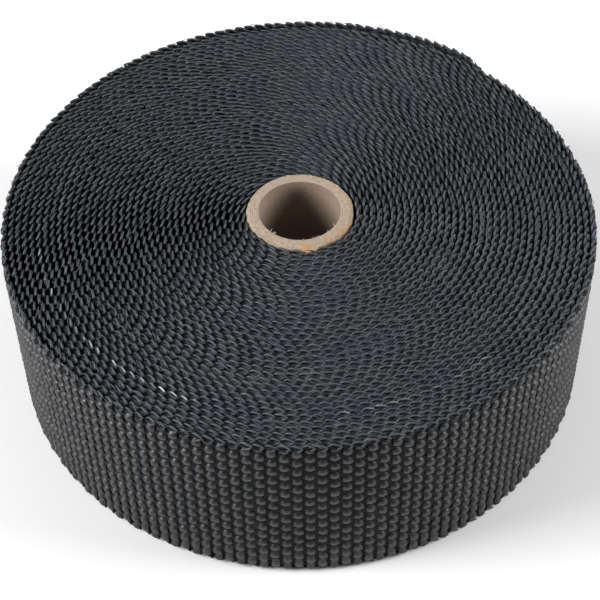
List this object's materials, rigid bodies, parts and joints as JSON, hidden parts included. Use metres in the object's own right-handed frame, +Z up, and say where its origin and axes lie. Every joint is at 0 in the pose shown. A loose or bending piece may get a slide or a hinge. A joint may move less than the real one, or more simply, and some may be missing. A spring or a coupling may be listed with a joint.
{
  "type": "roll of exhaust heat wrap",
  "caption": "Roll of dark woven glass-fibre heat-wrap tape, wound in tight turns on a cardboard tube and standing on its end, with its outer turn a little loose towards the free end.",
  "frame": {"origin": "on the roll's axis, on the level plane that the roll stands on", "axes": "+Z up along the tube's bore; the tape's free end is on the outside between +X and +Y, and the picture's camera looks from -Y"},
  "size_m": [0.1503, 0.1518, 0.05],
  "materials": {
    "woven_tape": "plain-woven glass yarn, dyed dark grey, with a dull sheen",
    "cardboard": "bare wound board, cut square and slightly fuzzy at its ends"
  },
  "bodies": {
    "root": {"wrap_roll": "woven_tape", "core_tube": "cardboard"}
  },
  "joints": []
}
